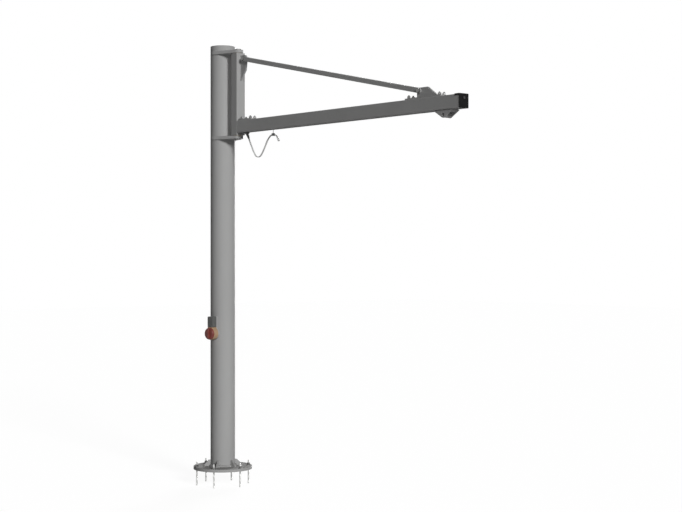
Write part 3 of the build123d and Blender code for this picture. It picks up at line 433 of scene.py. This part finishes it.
def thread(mesh, place, radius, low, high, pitch, steps=14):
    """A threaded bar from low to high, with a helical groove and pointed ends."""
    rows = int(round((high - low) / pitch * 2))
    point = THREAD_POINT * radius
    cut = THREAD_DEPTH * radius
    tip = THREAD_TIP * radius

    def groove(level):
        return lambda a: radius - cut * abs(2 * ((level / pitch - a / (2 * math.pi)) % 1.0) - 1)

    rings = [ring(place, tip, low, steps)]
    for row in range(rows + 1):
        level = low + point + (high - low - 2 * point) * row / rows
        rings.append(ring(place, groove(level), level, steps))
    rings.append(ring(place, tip, high, steps))
    skin(mesh, rings)


def bead(mesh, points, radius, closed=False, sides=8):
    """A weld bead with overlapping ripples along a line of points."""
    line = [Vector(p) for p in points]
    if closed:
        line.append(line[0])
    lengths = [0.0]
    for a, b in zip(line, line[1:]):
        lengths.append(lengths[-1] + (b - a).length)
    total = lengths[-1]
    count = max(6, int(round(total / RIPPLE_PITCH)) * RIPPLE_RINGS)
    rings = []
    index = 0
    for k in range(count if closed else count + 1):
        s = total * k / count
        while index < len(lengths) - 2 and lengths[index + 1] < s:
            index += 1
        along = line[index + 1] - line[index]
        centre = line[index] + along * ((s - lengths[index]) / along.length)
        heading = along.normalized()
        aside = Vector((0.13, 0.21, 1.0)) if abs(heading.z) < 0.9 else Vector((1.0, 0.17, 0.1))
        across = heading.cross(aside).normalized()
        up = across.cross(heading)
        wander = RIPPLE_WANDER * math.sin(k * RIPPLE_DRIFT)
        ripple = abs(math.sin(math.pi * k / RIPPLE_RINGS + wander))
        size = radius * (1.0 - RIPPLE_HEIGHT + RIPPLE_HEIGHT * ripple)
        if not closed:
            size *= min(1.0, BEAD_END + min(s, total - s) / (2.0 * radius))
        rings.append([
            centre + across * (size * math.cos(a)) + up * (size * math.sin(a)) for a in turns(sides)
        ])
    skin(mesh, rings, loop=closed)


def arc(radius, level, start, end, count=60):
    """Points on a level arc about the column, by angles in degrees."""
    angles = [math.radians(start + (end - start) * k / count) for k in range(count + 1)]
    return [(radius * math.cos(a), radius * math.sin(a), level) for a in angles]


# Festoon cable: flat and ribbed, on one smooth line, with a sleeve at its gland and a boot at its connector
ROUTE = [
    (0.286, 2.2715), (0.298, 2.249), (0.319, 2.211), (0.352, 2.157), (0.384, 2.116), (0.426, 2.116),
    (0.459, 2.152), (0.484, 2.188), (0.506, 2.222), (0.532, 2.246), (0.556, 2.256), (0.582, 2.255),
    (0.600, 2.247), (0.611, 2.237), (0.618, 2.226),
]
CABLE_WIDTH = 0.012
CABLE_THICK = 0.004
CABLE_VALLEY = 0.62
SLEEVE_RIDGES = 6
SLEEVE_RIDGE_HEIGHT = 0.10
SLEEVE_SIDES = 20
curve = bpy.data.curves.new("cable_line", "CURVE")
curve.dimensions = "3D"
curve.resolution_u = 20
spline = curve.splines.new("NURBS")
spline.points.add(len(ROUTE) - 1)
for point, (x, z) in zip(spline.points, ROUTE):
    point.co = (x, 0.0, z, 1.0)
spline.order_u = 3
spline.use_endpoint_u = True
guide = bpy.data.objects.new("cable_line", curve)
scene.collection.objects.link(guide)
bpy.context.view_layer.update()
line = [Vector(v.co) for v in bpy.data.meshes.new_from_object(guide).vertices]
bpy.data.objects.remove(guide)


def cable_section(lobes=4, per_lobe=6):
    """Outline of a flat cable with one rounded ridge for each core, as (across, through) offsets."""
    last = lobes * per_lobe
    top = []
    for k in range(last + 1):
        local = (k % per_lobe) / per_lobe
        swell = max(CABLE_VALLEY, math.sqrt(1 - (2 * local - 1) ** 2))
        half = CABLE_THICK / 2 * (swell if 0 < k < last else 0.0)
        top.append((CABLE_WIDTH * (k / last - 0.5), half))
    return top + [(across, -through) for across, through in reversed(top[1:-1])]


def along_cable(index, outline):
    """An outline of (across, through) offsets, set square to the cable at one of its line's points."""
    heading = (line[min(index + 1, len(line) - 1)] - line[max(index - 1, 0)]).normalized()
    across = Vector((0.0, 1.0, 0.0))
    through = across.cross(heading)
    return [line[index] + across * a + through * t for a, t in outline]


mesh = bmesh.new()
section = cable_section()
skin(mesh, [along_cable(index, section) for index in range(len(line))])
cable = piece("festoon_cable_ribbed", mesh, None, "cable")
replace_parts(cable, "festoon_cable")
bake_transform(cable)


def sleeve(name, body, slot, indices, length, root, tip, look=None):
    """A ribbed sleeve round the cable. It tapers from root to tip, both half sizes (across, through)."""
    rings = []
    reach = 0.0
    for index, after in zip(indices, indices[1:]):
        share = reach / length
        ridge = 1.0 + SLEEVE_RIDGE_HEIGHT * math.sin(share * 2 * math.pi * SLEEVE_RIDGES)
        wide = (root[0] + (tip[0] - root[0]) * share) * ridge
        thick = (root[1] + (tip[1] - root[1]) * share) * ridge
        outline = [(wide * math.cos(a), thick * math.sin(a)) for a in turns(SLEEVE_SIDES)]
        rings.append(along_cable(index, outline))
        reach += (line[after] - line[index]).length
        if reach > length:
            break
    mesh = bmesh.new()
    skin(mesh, rings)
    return piece(name, mesh, body, slot, look)


forward = list(range(len(line)))
relief = sleeve("gland_sleeve", "jib", "black_plastic", forward, length=0.032,
                root=(0.0105, 0.0078), tip=(0.0068, 0.0030), look="enclosure")
boot = sleeve("connector_boot", "cable_trolley", "socket", forward[::-1], length=0.016,
              root=(0.0063, 0.0063), tip=(0.0067, 0.0028))


def anchor_angle(k):
    """Angle of one of the anchors, each of which has a rib between it and the column."""
    return math.radians(STUD_TURN + 360.0 * k / STUD_COUNT)


# Anchors: threaded studs through the plate, with chamfered nuts
studs = bmesh.new()
nuts = bmesh.new()
for k in range(STUD_COUNT):
    x = STUD_CIRCLE * math.cos(anchor_angle(k))
    y = STUD_CIRCLE * math.sin(anchor_angle(k))
    thread(studs, upright(x, y, 0.0), STUD_RADIUS, STUD_LOW.z, STUD_HIGH.z, STUD_PITCH)
    place = upright(x, y, PLATE_TOP + WASHER, NUT_TURN * k)
    bore = [ring(place, STUD_RADIUS, NUT_HEIGHT), ring(place, STUD_RADIUS, 0.0)]
    skin(nuts, hexagon(place, 0.0, NUT_HEIGHT, NUT_FLATS) + bore, loop=True)
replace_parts(piece("threaded_studs", studs, "pillar", "steel", look="stud", smooth=False), "anchor_studs")
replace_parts(piece("chamfered_nuts", nuts, "pillar", "steel", smooth=False), "anchor_nuts")

# Bolts of the two plates on the beam: threaded studs with flange nuts
for node in ("root_bolts", "bracket_bolts"):
    low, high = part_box(node)
    mesh = bmesh.new()
    for k, x in enumerate((low.x + FLANGE_RADIUS, high.x - FLANGE_RADIUS)):
        for side in (-1.0, 1.0):
            y = BOLT_GAUGE * side
            thread(mesh, upright(x, y, 0.0), STUD_RADIUS, low.z, high.z, STUD_PITCH)
            place = upright(x, y, STRAP_TOP, BOLT_TURN * k + BOLT_SIDE_TURN * side)
            flange = [
                ring(place, STUD_RADIUS, 0.0),
                ring(place, FLANGE_RADIUS, 0.0),
                ring(place, FLANGE_RADIUS, FLANGE_EDGE),
            ]
            bore = [ring(place, STUD_RADIUS, WASHER + NUT_HEIGHT)]
            skin(mesh, flange + hexagon(place, WASHER, NUT_HEIGHT, NUT_FLATS) + bore, loop=True)
    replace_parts(piece("threaded_" + node, mesh, "jib", "steel", smooth=False), node)

# Bolts across the tie rod's forks, heads to -Y and nuts to +Y
for end in ("upper", "lower"):
    low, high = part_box(end + "_tie_bolt")
    nut_low, nut_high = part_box(end + "_tie_nut")
    x = (low.x + high.x) / 2
    z = (low.z + high.z) / 2
    mesh = bmesh.new()
    skin(mesh, hexagon(crosswise(x, low.y + TIE_HEAD, z, -1.0), 0.0, TIE_HEAD, TIE_FLATS))
    thread(mesh, crosswise(x, 0.0, z, 1.0), TIE_RADIUS, low.y + TIE_HEAD, high.y, TIE_PITCH)
    place = crosswise(x, nut_low.y, z, 1.0)
    height = nut_high.y - nut_low.y
    bore = [ring(place, TIE_RADIUS, height), ring(place, TIE_RADIUS, 0.0)]
    skin(mesh, hexagon(place, 0.0, height, TIE_FLATS) + bore, loop=True)
    made = piece(end + "_tie_fastener", mesh, "jib", "steel", smooth=False)
    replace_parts(made, end + "_tie_bolt", end + "_tie_nut")


# Welds round the column's foot and ribs
mesh = bmesh.new()
for out, up in ((FOOT_FAR, FOOT_NEAR), (FOOT_NEAR, FOOT_FAR)):
    circle = arc(COLUMN_RADIUS + out, PLATE_TOP + up, 0.0, FOOT_STEP * FOOT_STEPS, FOOT_STEPS)
    bead(mesh, circle, FOOT_BEAD, closed=True)
for k in range(STUD_COUNT):
    out = Vector((math.cos(anchor_angle(k)), math.sin(anchor_angle(k)), 0.0))
    for side in (-RIB_SIDE, RIB_SIDE):
        base = Vector((-out.y * side, out.x * side, PLATE_TOP + RIB_LIFT))
        level_start = base + out * (COLUMN_RADIUS + RIB_START)
        level_end = base + out * (COLUMN_RADIUS + RIB_REACH - RIB_STOP)
        bead(mesh, [level_start, level_end], RIB_BEAD)
        foot = base + out * COLUMN_RADIUS
        upright_start = foot + Vector((0.0, 0.0, RIB_START))
        upright_end = foot + Vector((0.0, 0.0, RIB_TOP - PLATE_TOP))
        bead(mesh, [upright_start, upright_end], RIB_BEAD)
piece("foot_welds", mesh, "pillar", "paint")

# Welds of the pivot lugs, above and below each
mesh = bmesh.new()
for lug in ("lower_lug", "upper_lug"):
    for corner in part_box(lug):
        bead(mesh, arc(COLUMN_RADIUS + LUG_PROUD, corner.z, -LUG_SPREAD, LUG_SPREAD), LUG_BEAD)
piece("lug_welds", mesh, "pillar", "paint")

# Welds of the jib: tie lug and beam on the mast, root plate, gusset on its foot plate
pin_low, pin_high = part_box("lower_tie_bolt")
pin = (pin_low.x + pin_high.x) / 2
seam = MAST_FRONT + SEAM_PROUD
lug_start = TIE_LUG_LOW.z + TIE_LUG_INSET
lug_end = TIE_LUG_HIGH.z - TIE_LUG_INSET
beam_start = BEAM_LOW.z + BEAM_LOW_INSET
beam_end = BEAM_HIGH.z - BEAM_HIGH_INSET
mesh = bmesh.new()
for side in (-1.0, 1.0):
    plate = TIE_PLATE_SIDE * side
    bead(mesh, [(seam, plate, lug_start), (seam, plate, lug_end)], PLATE_BEAD)
    bead(mesh, [(pin - GUSSET_BEHIND, plate, STRAP_TOP), (pin + GUSSET_AHEAD, plate, STRAP_TOP)], PLATE_BEAD)
    edge = (BEAM_HIGH.y - BEAM_EDGE) * side
    bead(mesh, [(seam, edge, beam_start), (seam, edge, beam_end)], BEAM_BEAD)
bead(mesh, [(seam, -STRAP_HALF, STRAP_TOP), (seam, STRAP_HALF, STRAP_TOP)], PLATE_BEAD)
piece("jib_welds", mesh, "jib", "paint")


# Floor: pale, white where it is seen, and still holding the crane's shadow
FLOOR_SIZE = 30.0
FLOOR_GAP = 0.0005
mesh = bmesh.new()
bmesh.ops.create_grid(mesh, x_segments=1, y_segments=1, size=FLOOR_SIZE)
data = bpy.data.meshes.new("floor")
mesh.to_mesh(data)
mesh.free()
floor = bpy.data.objects.new("floor", data)
floor.location = (0.0, 0.0, STUD_LOW.z - FLOOR_GAP)
scene.collection.objects.link(floor)
ground = bpy.data.materials.new("pale_floor")
ground.use_nodes = True
tree = ground.node_tree
tree.nodes.clear()
matt = add_node(tree, "ShaderNodeBsdfDiffuse", Color=(0.15, 0.15, 0.15, 1.0))
glow = add_node(tree, "ShaderNodeEmission", Color=WHITE, Strength=0.92)
lit = tree.nodes.new("ShaderNodeAddShader")
tree.links.new(matt.outputs[0], lit.inputs[0])
tree.links.new(glow.outputs[0], lit.inputs[1])
dull = add_node(tree, "ShaderNodeBsdfDiffuse", Color=(0.46, 0.46, 0.46, 1.0))
output = tree.nodes.new("ShaderNodeOutputMaterial")
tree.links.new(pick(tree, dull, lit).outputs[0], output.inputs[0])
data.materials.append(ground)
